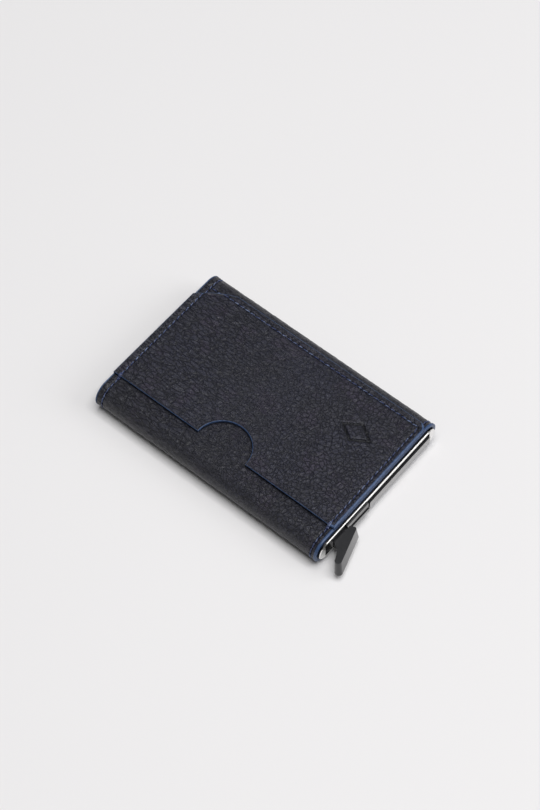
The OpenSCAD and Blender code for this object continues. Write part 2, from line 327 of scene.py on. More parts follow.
def felt_material():
    g = Graph("felt")
    fuzz = g.noise(4, 4, roughness=0.7).outputs[0]
    g.bump(fuzz, 0.15 * MM, 1.0)
    return g.set(Base_Color=g.mix(fuzz, (0.012, 0.012, 0.014), (0.05, 0.05, 0.055)),
                 Roughness=0.95, Sheen_Weight=0.5)


def metal_material(name, colour, rough_low, rough_high, grain):
    """Metal with fine lines along X, as drawing or polishing leaves them, and faint clouding."""
    g = Graph(name)
    lines = g.noise(1, 3, vector=g.math_vector("MULTIPLY", g.mm, (0.12, 9, 9))).outputs[0]
    cloud = g.noise(0.4, 3).outputs[0]
    dull = tuple(0.88 * channel for channel in colour)
    g.bump(lines, grain * MM, 0.5)
    return g.set(Base_Color=g.mix(cloud, dull, colour), Metallic=1.0,
                 Roughness=g.spread(lines, 0.3, 0.7, rough_low, rough_high))


def plastic_material(name, dark, light, rough_low, rough_high, texture, gloss, coat):
    """Moulded plastic: a spark-eroded texture of the given height, and faint cloudiness."""
    g = Graph(name)
    grain = g.noise(7, 3, roughness=0.6).outputs[0]
    cloud = g.noise(0.35, 2).outputs[0]
    g.bump(grain, texture * MM, 0.6)
    return g.set(Base_Color=g.mix(cloud, dark, light), Specular_IOR_Level=gloss,
                 Coat_Weight=coat, Coat_Roughness=0.14,
                 Roughness=g.spread(grain, 0.3, 0.7, rough_low, rough_high))


# Painted shade: the wrap's copy is darker than the panel's, standing for the shade on the wrap's
# rounded sides
PANEL_LEATHER = leather_material("panel_leather", shade_tone=0.99, coat=0.11)
WRAP_LEATHER = leather_material("wrap_leather", shade_tone=0.76, coat=0.20)
EDGE_PAINT = edge_paint_material()
THREAD = thread_material()
LINING = lining_material()
FILM = film_material()
FELT = felt_material()
ALUMINIUM = metal_material("anodised_aluminium", (0.028, 0.028, 0.032), 0.28, 0.40, 0.010)
POLISHED = metal_material("polished_rim", (0.90, 0.895, 0.88), 0.14, 0.24, 0.004)
STEEL = metal_material("steel", (0.60, 0.61, 0.63), 0.20, 0.34, 0.006)
BLOCK_PLASTIC = plastic_material("black_plastic", (0.020, 0.020, 0.022), (0.028, 0.028, 0.030),
                                 0.14, 0.22, 0.004, 1.0, 1.0)
LEVER_PLASTIC = plastic_material("lever_plastic", (0.007, 0.007, 0.009), (0.010, 0.010, 0.012),
                                 0.28, 0.38, 0.006, 0.35, 0.25)
THUMB_PLASTIC = plastic_material("thumb_plastic", (0.005, 0.005, 0.006), (0.007, 0.007, 0.008),
                                 0.10, 0.16, 0.002, 0.6, 0.5)


# ---------------------------------------------------------------- mesh helpers

def make_piece(name, verts, faces, materials, replaces):
    """A smooth-shaded mesh object from points in millimetres, riding on the case."""
    mesh = bpy.data.meshes.new(name)
    mesh.from_pydata((np.asarray(verts, float) * MM).tolist(), [], faces)
    mesh.validate()
    for material in materials:
        mesh.materials.append(material)
    mesh.polygons.foreach_set("use_smooth", [True] * len(mesh.polygons))
    piece = bpy.data.objects.new(name, mesh)
    bpy.context.scene.collection.objects.link(piece)
    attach(piece, "case")
    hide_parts(*replaces)
    return piece


def mark_hollow_shade(piece, relief):
    """Stores how deep each point lies in the hide's hollows, where painted shade darkens the leather's
    colour.
    """
    attribute = piece.data.attributes.new("hollow_shade", "FLOAT", "POINT")
    values = np.zeros(len(piece.data.vertices))
    values[:len(relief)] = smoothstep(-relief, HOLLOW_SHADE_FROM, HOLLOW_SHADE_FULL)
    attribute.data.foreach_set("value", values)
    return piece


def outward(piece):
    """Turns every face of a closed piece outwards."""
    bm = bmesh.new()
    bm.from_mesh(piece.data)
    bmesh.ops.recalc_face_normals(bm, faces=bm.faces)
    bm.to_mesh(piece.data)
    bm.free()
    return piece


def smoothstep(value, low, high):
    """Rises from 0 at low to 1 at high, level at both ends."""
    t = np.clip((value - low) / (high - low), 0, 1)
    return t * t * (3 - 2 * t)


def case_path(step, gap=0.0):
    """Points once round the case from the top's middle: [base y, normal y, normal z, distance].

    gap leaves an opening of twice its width at the top's middle."""
    n_half = max(2, round((FLAT_Y - gap) / step))
    n_flat = max(4, round(2 * FLAT_Y / step))
    n_arc = max(16, round(math.pi * WRAP_R / step))
    rows = [(gap + (FLAT_Y - gap) * i / n_half, 0, 1) for i in range(n_half)]
    for i in range(n_arc):
        a = math.pi * i / n_arc
        rows.append((FLAT_Y, math.sin(a), math.cos(a)))
    rows += [(FLAT_Y - 2 * FLAT_Y * i / n_flat, 0, -1) for i in range(n_flat)]
    for i in range(n_arc):
        a = math.pi * i / n_arc
        rows.append((-FLAT_Y, -math.sin(a), -math.cos(a)))
    last = n_half + 1 if gap else n_half
    rows += [(-FLAT_Y + (FLAT_Y - gap) * i / n_half, 0, 1) for i in range(last)]
    path = np.array(rows, float)
    at_surface = path[:, :1] * [1, 0] + path[:, 1:3] * WRAP_R
    along = np.concatenate([[0], np.cumsum(np.linalg.norm(np.diff(at_surface, axis=0), axis=1))])
    return np.column_stack([path, along])


def grid_faces(n, m, closed=True):
    """Quads over n closed loops of m points; closed also joins the last loop to the first."""
    return [(i * m + j, ((i + 1) % n) * m + j, ((i + 1) % n) * m + (j + 1) % m,
             i * m + (j + 1) % m) for i in range(n if closed else n - 1) for j in range(m)]


def sweep(path, x, r, closed=True):
    """Grid of points: profile j (x[i, j], r[i, j]) at each path point i."""
    points = np.empty((*r.shape, 3))
    points[..., 0] = x
    points[..., 1] = path[:, :1] + path[:, 1:2] * r
    points[..., 2] = MID_Z + path[:, 2:3] * r
    n, m = r.shape
    faces = grid_faces(n, m, closed)
    if not closed:
        faces += [tuple(range(m)), tuple((n - 1) * m + j for j in reversed(range(m)))]
    return points.reshape(-1, 3), faces


def ring_piece(name, profile, materials, replaces, step=1.0, wobble=0.0, seed=0):
    """A ring round the case with a closed profile of (x, radius) points."""
    path = case_path(step)
    x = np.tile([p[0] for p in profile], (len(path), 1))
    r = np.tile([p[1] for p in profile], (len(path), 1)).astype(float)
    if wobble:
        shift = [noise.noise(Vector((s * 0.35, seed, 0))) * wobble for s in path[:, 3]]
        x = x + np.array(shift)[:, None]
    verts, faces = sweep(path, x, r)
    return outward(make_piece(name, verts, faces, materials, replaces))


# ---------------------------------------------------------------- leather relief

def hide_relief(x, s, seed):
    """Height of the hide at x along the case and s across it, against its smooth form.

    Slow waves, pebbles with creases between them, and long wrinkles towards the mouth. The
    pebbles are drawn out along the case at the mouth and round at the lever end."""
    heights = np.empty(len(x))
    long_share = 1 - smoothstep(np.asarray(x), -30, 25)
    for i, (a, b, share) in enumerate(zip(x, s, long_share)):
        p = Vector((a, b, seed))
        wave = noise.noise(p * 0.055) * 0.05 + noise.noise(p * 0.21) * 0.03
        bend = noise.noise_vector(p * 0.16) * 1.5
        q = Vector((0.72 * a + 0.0023 * a * a, b, seed)) + bend
        near = noise.voronoi(q * 0.56)[0]
        pebble = 1 - (1 - min(1.0, (near[1] - near[0]) * 1.25)) ** 2
        close = noise.voronoi(q * 1.15)[0]
        grain = min(1.0, (close[1] - close[0]) * 1.5)
        ridge = abs(noise.noise(Vector((0.22 * a + 0.16 * b, 0.62 * b - 0.10 * a, seed)) + bend * 0.25))
        wrinkle = min(1.0, ridge * 4.5)
        heights[i] = wave + pebble * 0.12 + grain * 0.05 + wrinkle * (0.03 + 0.08 * share)
    return heights - HIDE_LEVEL


def pits(points, centres, width, depth):
    """Sum of round dents at the centres, as a depth at each point."""
    total = np.zeros(len(points))
    for centre in centres:
        away = ((points - centre) ** 2).sum(axis=1)
        close = away < (3.2 * width) ** 2
        total[close] += depth * np.exp(-away[close] / (2 * width ** 2))
    return total


# ---------------------------------------------------------------- stitch lines

class Stitch:
    """One stitch: its middle, its direction and the leather's outward normal."""

    def __init__(self, middle, along, normal):
        self.middle = Vector(middle)
        self.along = Vector(along).normalized()
        self.normal = Vector(normal).normalized()

    def hole(self):
        """The needle hole at the stitch's forward end."""
        return self.middle + self.along * STITCH_PITCH / 2


def wrap_point(s, x):
    """Place and normal on the wrap at distance s round the case from the top's middle."""
    arc = math.pi * WRAP_R
    if s < FLAT_Y:
        return (x, s, MID_Z + WRAP_R), (0, 0, 1)
    if s < FLAT_Y + arc:
        a = (s - FLAT_Y) / WRAP_R
        normal = (0, math.sin(a), math.cos(a))
    elif s < 3 * FLAT_Y + arc:
        return (x, 2 * FLAT_Y + arc - s, MID_Z - WRAP_R), (0, 0, -1)
    elif s < 3 * FLAT_Y + 2 * arc:
        a = (s - 3 * FLAT_Y - arc) / WRAP_R
        normal = (0, -math.sin(a), -math.cos(a))
    else:
        return (x, s - 4 * FLAT_Y - 2 * arc, MID_Z + WRAP_R), (0, 0, 1)
    side = FLAT_Y if normal[1] >= 0 else -FLAT_Y
    return (x, side + normal[1] * WRAP_R, MID_Z + normal[2] * WRAP_R), normal


def row(start, end, place, along):
    """Stitches on top, evenly from start to end; place(t) gives the middle of the stitch at t."""
    count = max(1, round((end - start) / STITCH_PITCH))
    return [Stitch(place(start + (end - start) * (i + 0.5) / count), along, (0, 0, 1))
            for i in range(count)]


def wrap_stitches(x, start):
    """Stitches round the wrap at x, from distance start to the panel's open edge."""
    end = 4 * FLAT_Y + 2 * math.pi * WRAP_R + PANEL_LO.y - 0.4
    count = round((end - start) / STITCH_PITCH)
    made = []
    for i in range(count):
        s = start + (end - start) * (i + 0.5) / count
        middle, normal = wrap_point(s, x)
        ahead = Vector(wrap_point(s + 0.1, x)[0]) - Vector(middle)
        made.append(Stitch(middle, ahead, normal))
    return made


def panel_stitches():
    """Stitches on the panel, as (mouth end, far side, lever end)."""
    top, low = PANEL_HI.z - PANEL_SINK + 0.06, PANEL_LO.y + 0.6
    mouth = row(low, MOUTH_STEP_Y - 0.3, lambda t: (LINE_X[0], t, top), (0, 1, 0))
    lever = row(low, LINE_Y - 0.3, lambda t: (LINE_X[1], t, top), (0, 1, 0))
    far = row(FAR_STEP_X + 0.3, LINE_X[1] - 0.3, lambda t: (t, LINE_Y, top), (1, 0, 0))
    return mouth, far, lever


WRAP_STITCHES = [wrap_stitches(LINE_X[0], MOUTH_STEP_Y + 0.3),
                 wrap_stitches(LINE_X[1], PANEL_HI.y + 0.5)]
STEP_STITCHES = row(LINE_X[0] + 0.3, FAR_STEP_X - 0.3, lambda t: (t, LINE_Y, WRAP_HI.z), (1, 0, 0))
MOUTH_STITCHES, FAR_STITCHES, LEVER_STITCHES = panel_stitches()


def strand(verts, faces, path, frames, radii, sides=6):
    """Adds a round strand along path; frames are (side, up) pairs at each path point."""
    first = len(verts)
    for point, (side, up), radius in zip(path, frames, radii):
        for k in range(sides):
            a = 2 * math.pi * k / sides
            verts.append(point + side * math.cos(a) * radius + up * math.sin(a) * radius)
    rings = len(path)
    for i in range(rings - 1):
        for k in range(sides):
            a, b = first + i * sides + k, first + i * sides + (k + 1) % sides
            faces.append((a, b, b + sides, a + sides))
    faces.append(tuple(first + k for k in reversed(range(sides))))
    faces.append(tuple(first + (rings - 1) * sides + k for k in range(sides)))


def twisted_thread(verts, faces, path, side, normals, turns, thickness=1.0):
    """Two plies twisted round a path, thinner where they dive into the leather."""
    count = len(path)
    for ply in (0, math.pi):
        points, frames, radii = [], [], []
        for i, (point, up) in enumerate(zip(path, normals)):
            t = i / (count - 1)
            a = ply + turns * 2 * math.pi * t
            points.append(point + (side * math.cos(a) + up * math.sin(a)) * PLY_OFFSET * thickness)
            frames.append((side, up))
            radii.append(THREAD_R * thickness * (1 - 0.35 * abs(2 * t - 1) ** 4))
        strand(verts, faces, points, frames, radii)


def thread_piece(name, stitches, node):
    """All the stitches of one sewn line, each a short twisted thread that dips at its ends."""
    verts, faces = [], []
    rings = 12
    for index, stitch in enumerate(stitches):
        across = stitch.normal.cross(stitch.along)
        slant = STITCH_SLANT * (1 + 0.3 * math.sin(index * 2.4))
        along = stitch.along * math.cos(slant) + across * math.sin(slant)
        across = stitch.normal.cross(along)
        path = []
        for i in range(rings):
            t = 2 * i / (rings - 1) - 1
            lift = 0.04 - 0.04 * t * t - 0.40 * abs(t) ** 7 - STITCH_SINK
            path.append(stitch.middle + along * t * STITCH_LENGTH / 2 + stitch.normal * lift)
        twisted_thread(verts, faces, path, across, [stitch.normal] * rings, 1.5)
    return outward(make_piece(name, verts, faces, [THREAD], [node]))


def tack_piece():
    """Doubled stitches that cross the pocket's open edge at both ends."""
    verts, faces = [], []
    top, bottom, y = PANEL_HI.z - PANEL_SINK, PANEL_LO.z, PANEL_LO.y
    side = Vector((1, 0, 0))
    outline = [(y + 1.5, top - 0.45), (y + 1.2, top - 0.18), (y + 0.5, top - 0.14),
               (y + 0.1, top - 0.20), (y - 0.12, top - 0.4), (y - 0.16, (top + bottom) / 2),
               (y - 0.25, bottom + 0.3), (y - 0.7, bottom + 0.12), (y - 1.1, bottom + 0.02),
               (y - 1.3, bottom - 0.25)]
    for x in LINE_X:
        for shift, stretch in ((-0.24, 1.0), (0.22, 0.86)):
            path = [Vector((x + shift + 0.1 * i / len(outline), y + (py - y) * stretch, pz))
                    for i, (py, pz) in enumerate(outline)]
            normals = []
            for i in range(len(path)):
                ahead = path[min(i + 1, len(path) - 1)] - path[max(i - 1, 0)]
                normals.append(ahead.cross(side).normalized())
            twisted_thread(verts, faces, path, side, normals, 2.5, 1.4)
    return outward(make_piece("bar_tack_threads", verts, faces, [THREAD], ["bar_tacks"]))


# ---------------------------------------------------------------- wrap

def rounded_end_samples(x_end, direction, radius):
    """Profile points that roll from the outer surface over a cut end: (x, drop) pairs."""
    return [(x_end - direction * radius * (1 - math.sin(a)), radius * (1 - math.cos(a)))
            for a in (math.radians(d) for d in (0, 18, 36, 54, 72, 90))]


def wrap_x_samples():
    """X positions across the wrap, closer together along the two stitch lines."""
    fine, coarse = MESH_STEP * 0.55, MESH_STEP * 1.5
    dense = 1.3
    x0, x1 = WRAP_LO.x + EDGE_ROUND, WRAP_HI.x - EDGE_ROUND
    marks = [x0, LINE_X[0] - dense, LINE_X[0] + dense, LINE_X[1] - dense, LINE_X[1] + dense, x1]
    steps = [coarse / 2, fine, coarse, fine, coarse / 2]
    xs = []
    for a, b, step in zip(marks, marks[1:], steps):
        count = max(1, round((b - a) / step))
        xs += [a + (b - a) * i / count for i in range(count)]
    return xs[1:]


def wrap_piece():
    """The leather wrap: one strip of hide bent round the case, meeting under the pocket."""
    path = case_path(MESH_STEP * 1.15, gap=0.1)
    flat = wrap_x_samples()
    mouth = rounded_end_samples(WRAP_LO.x, -1, EDGE_ROUND)
    lever = rounded_end_samples(WRAP_HI.x, 1, EDGE_ROUND)
    inner_x = np.linspace(WRAP_HI.x, WRAP_LO.x, 14)
    xs = [p[0] for p in reversed(mouth)] + flat + [p[0] for p in lever] + list(inner_x)
    drops = [p[1] for p in reversed(mouth)] + [0] * len(flat) + [p[1] for p in lever]
    thickness = WRAP_R - LINING_R
    n, m = len(path), len(xs)
    x = np.tile(xs, (n, 1)).astype(float)
    r = np.tile([WRAP_R - d for d in drops] + [WRAP_R - thickness] * len(inner_x), (n, 1))
    outer = len(drops)
    u = np.repeat(path[:, 3], outer)
    v = np.tile(xs[:outer], n)
    fade = smoothstep(EDGE_ROUND - np.tile(drops, n), 0.0, EDGE_ROUND)
    relief = hide_relief(v, u, 3.0) * fade
    surface = np.column_stack([
        v,
        np.repeat(path[:, 0], outer) + np.repeat(path[:, 1], outer) * WRAP_R,
        MID_Z + np.repeat(path[:, 2], outer) * WRAP_R])
    for line_x, stitches in zip(LINE_X, WRAP_STITCHES):
        relief -= GROOVE_DEPTH * np.exp(-((v - line_x) / GROOVE_WIDTH) ** 2)
        relief -= pits(surface, [np.array(s.hole()) for s in stitches], HOLE_WIDTH, HOLE_DEPTH)
    relief -= pits(surface, [np.array(s.hole()) for s in STEP_STITCHES], HOLE_WIDTH, HOLE_DEPTH)
    at_step = (v < FAR_STEP_X + 1) & (surface[:, 2] > MID_Z)
    relief -= at_step * GROOVE_DEPTH * np.exp(-((surface[:, 1] - LINE_Y) / GROOVE_WIDTH) ** 2)
    relief = np.clip(relief, -WRAP_DEEPEST, 0)
    r[:, :outer] += relief.reshape(n, outer)
    verts, faces = sweep(path, x, r, closed=False)
    depths = np.zeros((n, len(xs)))
    depths[:, :outer] = relief.reshape(n, outer)
    piece = outward(make_piece("leather_cover", verts, faces, [WRAP_LEATHER],
                               ["leather_wrap"]))
    return mark_hollow_shade(piece, depths.ravel())


def edge_bead(name, x_end, direction, node, seed, lap):
    """Painted cut end of the wrap: a bead that laps a little over the hide."""
    depth = WRAP_R - FILM_R
    inward = -direction
    profile = [(x_end + inward * lap, WRAP_R - 0.06), (x_end + inward * (lap - 0.06), WRAP_R),
               (x_end + inward * 0.20, WRAP_R), (x_end + inward * 0.07, WRAP_R - 0.09),
               (x_end + inward * 0.01, WRAP_R - 0.26), (x_end, WRAP_R - depth / 2),
               (x_end + inward * 0.01, WRAP_R - depth + 0.22),
               (x_end + inward * 0.08, WRAP_R - depth + 0.07),
               (x_end + inward * 0.22, WRAP_R - depth + 0.04),
               (x_end + inward * 0.30, WRAP_R - depth / 2)]
    return ring_piece(name, profile, [EDGE_PAINT], [node], 0.5, 0.03, seed)


# ---------------------------------------------------------------- pocket panel

def panel_outline(step):
    """Points anticlockwise round the panel, from its open edge's mouth end."""
    x0, x1, y0, y1 = PANEL_LO.x, PANEL_HI.x, PANEL_LO.y, PANEL_HI.y
    notch_y = y0 + NOTCH_RISE
    half = math.sqrt(NOTCH_R ** 2 - NOTCH_RISE ** 2)
    tilt = math.asin(NOTCH_RISE / NOTCH_R)
    points = []

    def line(a, b):
        count = max(1, round(math.dist(a, b) / step))
        points.extend((a[0] + (b[0] - a[0]) * i / count, a[1] + (b[1] - a[1]) * i / count)
                      for i in range(count))

    def arc(cx, cy, radius, a0, a1):
        count = max(6, round(abs(a1 - a0) * radius / step))
        points.extend((cx + radius * math.cos(a0 + (a1 - a0) * i / count),
                       cy + radius * math.sin(a0 + (a1 - a0) * i / count)) for i in range(count))

    line((x0, y0), (NOTCH_X - half, y0))
    arc(NOTCH_X, notch_y, NOTCH_R, math.pi + tilt, -tilt)
    line((NOTCH_X + half, y0), (x1, y0))
    line((x1, y0), (x1, y1 - CORNER_R))
    arc(x1 - CORNER_R, y1 - CORNER_R, CORNER_R, 0, math.pi / 2)
    line((x1 - CORNER_R, y1), (ARC_X, y1))
    arc(ARC.x, ARC.y, ARC_R, math.atan2(y1 - ARC.y, ARC_X - ARC.x),
        math.atan2(ARC_Y - ARC.y, x0 - ARC.x))
    line((x0, ARC_Y), (x0, y0))
    return np.array(points)


def panel_depth(p):
    """Distance from each point to the panel's edge, positive inside."""
    x, y = p[:, 0], p[:, 1]
    x0, x1, y0, y1 = PANEL_LO.x, PANEL_HI.x, PANEL_LO.y, PANEL_HI.y
    notch = np.hypot(x - NOTCH_X, y - y0 - NOTCH_RISE) - NOTCH_R
    depth = np.minimum.reduce([x - x0, x1 - x, y - y0, y1 - y, notch])
    for cx, cy, radius, side in ((x1 - CORNER_R, y1 - CORNER_R, CORNER_R, 1),
                                 (ARC.x, ARC.y, ARC_R, -1)):
        zone = ((x - cx) * side > 0) & (y > cy)
        corner = radius - np.hypot(x - cx, y - cy)
        depth[zone] = np.minimum(corner, depth)[zone]
    return depth


def panel_lift(p, reach=14.0):
    """How far the open edge stands off the wrap, away from its sewn ends."""
    x, y = p[:, 0], p[:, 1]
    near = 1 - smoothstep(y - PANEL_LO.y, 0.0, 22.0)
    ends = smoothstep(np.minimum(x - LINE_X[0], LINE_X[1] - x), 0.0, reach)
    return PANEL_LIFT * near * ends


def inset(loop, distance):
    """A closed anticlockwise loop moved inwards, point by point."""
    ahead = np.roll(loop, -1, axis=0) - np.roll(loop, 1, axis=0)
    ahead /= np.linalg.norm(ahead, axis=1)[:, None]
    return loop + np.column_stack([-ahead[:, 1], ahead[:, 0]]) * distance


def within(points, loop):
    """Which points lie inside a closed loop."""
    x, y = points[:, 0], points[:, 1]
    inside = np.zeros(len(points), bool)
    for (ax, ay), (bx, by) in zip(loop, np.roll(loop, -1, axis=0)):
        if ay != by:
            crosses = (ay > y) != (by > y)
            inside ^= crosses & (x < ax + (y - ay) / (by - ay) * (bx - ax))
    return inside


def triangulate(loop, inside):
    """Triangles that fill a closed loop, using the inside points too."""
    points = [Vector(p) for p in np.vstack([loop, inside])]
    result = delaunay_2d_cdt(points, [], [list(range(len(loop)))], 1, 1e-7, True)
    verts, faces, sources = result[0], result[2], result[3]
    place = {}
    for index, origin in enumerate(sources):
        for source in origin:
            place[source] = index
    flat = np.array([(v.x, v.y) for v in verts])
    keep = within(np.array([flat[list(f)].mean(axis=0) for f in faces]), loop)
    kept = [tuple(f) for f, wanted in zip(faces, keep) if wanted]
    return flat, kept, [place[i] for i in range(len(loop))]


def grid_inside(step, margin, depth_of, low, high):
    """Points of a triangular grid that lie more than margin inside a shape."""
    rows = []
    height = step * 0.866
    for j in range(int((high[1] - low[1]) / height)):
        xs = np.arange(low[0] + (j % 2) * step / 2, high[0], step)
        rows.append(np.column_stack([xs, np.full(len(xs), low[1] + (j + 0.5) * height)]))
    points = np.vstack(rows)
    return points[depth_of(points) > margin]


def sheet_mesh(loop, top_inside, top_height, bottom_height, bottom_inside, wall=()):
    """A closed sheet: a top surface, a bottom surface and a wall between their edges."""
    top, faces, top_ring = triangulate(loop, top_inside)
    bottom, bottom_faces, bottom_ring = triangulate(loop, bottom_inside)
    verts = [np.column_stack([top, top_height(top)])]
    count = len(top)
    verts.append(np.column_stack([bottom, bottom_height(bottom)]))
    faces = faces + [tuple(count + i for i in reversed(f)) for f in bottom_faces]
    rings = [top_ring]
    count += len(bottom)
    top_z, bottom_z = top_height(loop), bottom_height(loop)
    for share in wall:
        verts.append(np.column_stack([loop, top_z + (bottom_z - top_z) * share]))
        rings.append(list(range(count, count + len(loop))))
        count += len(loop)
    rings.append([len(top) + i for i in bottom_ring])
    for upper, lower in zip(rings, rings[1:]):
        for i in range(len(loop)):
            j = (i + 1) % len(loop)
            faces.append((upper[i], lower[i], lower[j], upper[j]))
    return np.vstack(verts), faces


def mark(p):
    """Blank lozenge pressed into the panel, where the original carries a small pressed mark.

    Returns the depth of its outline and how far each point lies inside it."""
    x, y = MARK_AT
    edge = np.abs(p[:, 0] - x) / MARK_SIZE[0] + np.abs(p[:, 1] - y) / MARK_SIZE[1] - 1
    return MARK_DEPTH * np.exp(-(edge / MARK_LINE) ** 2), smoothstep(-edge, 0.0, 0.2)


def groove(p):
    """Depth of the grooves along the panel's three stitch lines."""
    x, y = p[:, 0], p[:, 1]
    beyond_y = np.maximum(y - LINE_Y, 0)
    beyond_x = np.maximum.reduce([LINE_X[0] - x, x - LINE_X[1], np.zeros(len(x))])
    away = np.minimum.reduce([np.hypot(x - LINE_X[0], beyond_y), np.hypot(x - LINE_X[1], beyond_y),
                              np.hypot(y - LINE_Y, beyond_x)])
    return GROOVE_DEPTH * np.exp(-(away / GROOVE_WIDTH) ** 2)


def panel_relief(p):
    """Height of the panel's top against its smooth form: hide, stitch grooves, holes and mark."""
    depth = panel_depth(p)
    outline, inside = mark(p)
    relief = hide_relief(p[:, 0], p[:, 1], 11.0) * smoothstep(depth, 0.1, 0.9) * (1 - 0.7 * inside)
    relief -= groove(p) * smoothstep(depth, 0, 0.5)
    flat = np.column_stack([p, np.full(len(p), PANEL_HI.z - PANEL_SINK)])
    holes = [np.array(s.hole()) for s in MOUTH_STITCHES + FAR_STITCHES + LEVER_STITCHES]
    relief -= pits(flat, holes, HOLE_WIDTH, HOLE_DEPTH) + outline + 0.12 * inside
    return np.clip(relief, -PANEL_DEEPEST, 0)


def panel_top(p):
    """Height of the panel's top: rolled edges, a sewn-down border and the relief."""
    x, y = p[:, 0], p[:, 1]
    depth = panel_depth(p)
    radius = EDGE_ROUND + LEVER_ROLL * smoothstep(x, PANEL_HI.x - 3, PANEL_HI.x - 1.2)
    roll = radius - np.clip(depth, 0, radius)
    drop = radius - np.sqrt(np.maximum(radius ** 2 - roll ** 2, 0))
    inner = np.minimum.reduce([x - LINE_X[0], LINE_X[1] - x, LINE_Y - y])
    swell = PANEL_SWELL * smoothstep(inner, 0.6, 7.0)
    return PANEL_HI.z - PANEL_SINK - drop + panel_relief(p) + swell + panel_lift(p)


def panel_under(p):
    """Height of the panel's underside: on the wrap at its border, raised over the pocket."""
    x, y = p[:, 0], p[:, 1]
    border = np.minimum.reduce([x - PANEL_LO.x, PANEL_HI.x - x, PANEL_HI.y - y])
    rise = box_mm("pocket_lining")[1].z - PANEL_LO.z
    return PANEL_LO.z + rise * smoothstep(border, POCKET_BORDER - 0.8, POCKET_BORDER) + panel_lift(p)


def panel_piece():
    loop = panel_outline(MESH_STEP)
    rolls = [inset(loop, d) for d in (0.05, 0.13, 0.24, 0.38)]
    low, high = PANEL_LO, PANEL_HI
    fine = grid_inside(MESH_STEP, 0.38 + MESH_STEP * 0.6, panel_depth, low, high)
    coarse = grid_inside(1.6, 0.8, panel_depth, low, high)
    verts, faces = sheet_mesh(loop, np.vstack([*rolls, fine]), panel_top, panel_under, coarse,
                              wall=(0.33, 0.66))
    piece = outward(make_piece("pocket_leather", verts, faces, [PANEL_LEATHER],
                               ["pocket_panel"]))
    on_top = verts[:, 2] > PANEL_LO.z + 0.45
    depths = np.where(on_top, panel_relief(verts[:, :2]), 0)
    return mark_hollow_shade(piece, depths)


def panel_bead():
    """Painted edge all round the panel."""
    loop = panel_outline(0.45)
    under = PANEL_LO.z + panel_lift(loop) + OPEN_GAP * panel_lift(loop, 5.0) / PANEL_LIFT
    lap = OPEN_LAP + (SIDE_LAP - OPEN_LAP) * smoothstep(loop[:, 1], PANEL_LO.y, PANEL_LO.y + 1.5)
    lap += (LEVER_LAP - lap) * smoothstep(loop[:, 0], PANEL_HI.x - 3, PANEL_HI.x - 1.2)
    rings = []
    for distance, rise in ((1.0, -0.10), (0.88, 0.03), (0.66, 0.035), (0.44, 0.035), (0.26, 0.03),
                           (0.12, 0.02), (0.02, 0.0)):
        flat = inset(loop, (distance * lap)[:, None])
        rings.append(np.column_stack([flat, np.maximum(panel_top(flat) + rise, under + 0.1)]))
    edge = np.maximum(panel_top(loop), under + 0.1)
    for distance, share in ((0.0, 0.15), (0.0, 0.85), (0.1, 1.0), (0.95, 1.0), (1.0, 0.6)):
        flat = inset(loop, (distance * lap)[:, None])
        rings.append(np.column_stack([flat, edge + (under - edge) * share]))
    points = np.stack(rings, axis=1)
    faces = grid_faces(*points.shape[:2])
    return outward(make_piece("pocket_edge_bead", points.reshape(-1, 3), faces,
                              [EDGE_PAINT], ["pocket_edge_paint"]))


def pocket_lining_piece():
    """Thin woven sheet behind the panel, cut to the pocket and to the notch."""
    lo, hi = box_mm("pocket_lining")
    outline = panel_outline(0.8)
    loop = np.column_stack([np.clip(outline[:, 0], lo.x, hi.x),
                            np.clip(outline[:, 1], lo.y, hi.y)])
    distinct = np.linalg.norm(loop - np.roll(loop, 1, axis=0), axis=1) > 0.05
    loop = inset(loop[distinct], 0.12)
    inside = grid_inside(2.0, POCKET_BORDER + 1, panel_depth, PANEL_LO, PANEL_HI)
    verts, faces = sheet_mesh(loop, inside, lambda p: hi.z + panel_lift(p) - 0.02,
                              lambda p: lo.z + panel_lift(p), inside)
    return outward(make_piece("pocket_lining_sheet", verts, faces, [LINING],
                              ["pocket_lining"]))


# ---------------------------------------------------------------- hard parts

def soften(piece, width, segments, angle):
    """Rounds a piece's edges where its faces meet at more than the angle."""
    bevel = piece.modifiers.new("soft_edges", "BEVEL")
    bevel.width, bevel.segments, bevel.limit_method = width * MM, segments, "ANGLE"
    bevel.angle_limit = angle
    bevel.harden_normals = True


def case_piece():
    """The tube: round outside, a flat slot inside, black with a bright bevelled rim at each end."""
    path = case_path(0.7)
    reach_y = box_mm("base_block")[1].y + 0.1
    reach_z = box_mm("base_block")[1].z - MID_Z
    loops = []
    for x, r in ((CASE_LO.x, CASE_R - RIM_CHAMFER), (CASE_LO.x + RIM_CHAMFER, CASE_R),
                 (CASE_HI.x - RIM_CHAMFER, CASE_R), (CASE_HI.x, CASE_R - RIM_CHAMFER)):
        loops.append(np.column_stack([np.full(len(path), x), path[:, 0] + path[:, 1] * r,
                                      MID_Z + path[:, 2] * r]))
    inner_y = np.clip(path[:, 0] * reach_y / FLAT_Y, -reach_y, reach_y)
    inner_z = np.where(np.abs(path[:, 1]) > 0, path[:, 2], np.sign(path[:, 2])) * reach_z
    for x, grow in ((CASE_HI.x, RIM_INNER), (CASE_HI.x - RIM_INNER, 0),
                    (CASE_LO.x + RIM_INNER, 0), (CASE_LO.x, RIM_INNER)):
        loops.append(np.column_stack([np.full(len(path), x),
                                      inner_y * (1 + grow / reach_y),
                                      MID_Z + inner_z * (1 + grow / reach_z)]))
    points = np.stack(loops, axis=1)
    faces = grid_faces(*points.shape[:2])
    piece = outward(make_piece("case_tube", points.reshape(-1, 3), faces,
                               [ALUMINIUM, POLISHED], ["card_case"]))
    for face in piece.data.polygons:
        if abs(face.normal.x) > 0.3:
            face.material_index = 1
    soften(piece, 0.05, 2, math.radians(25))
    return piece


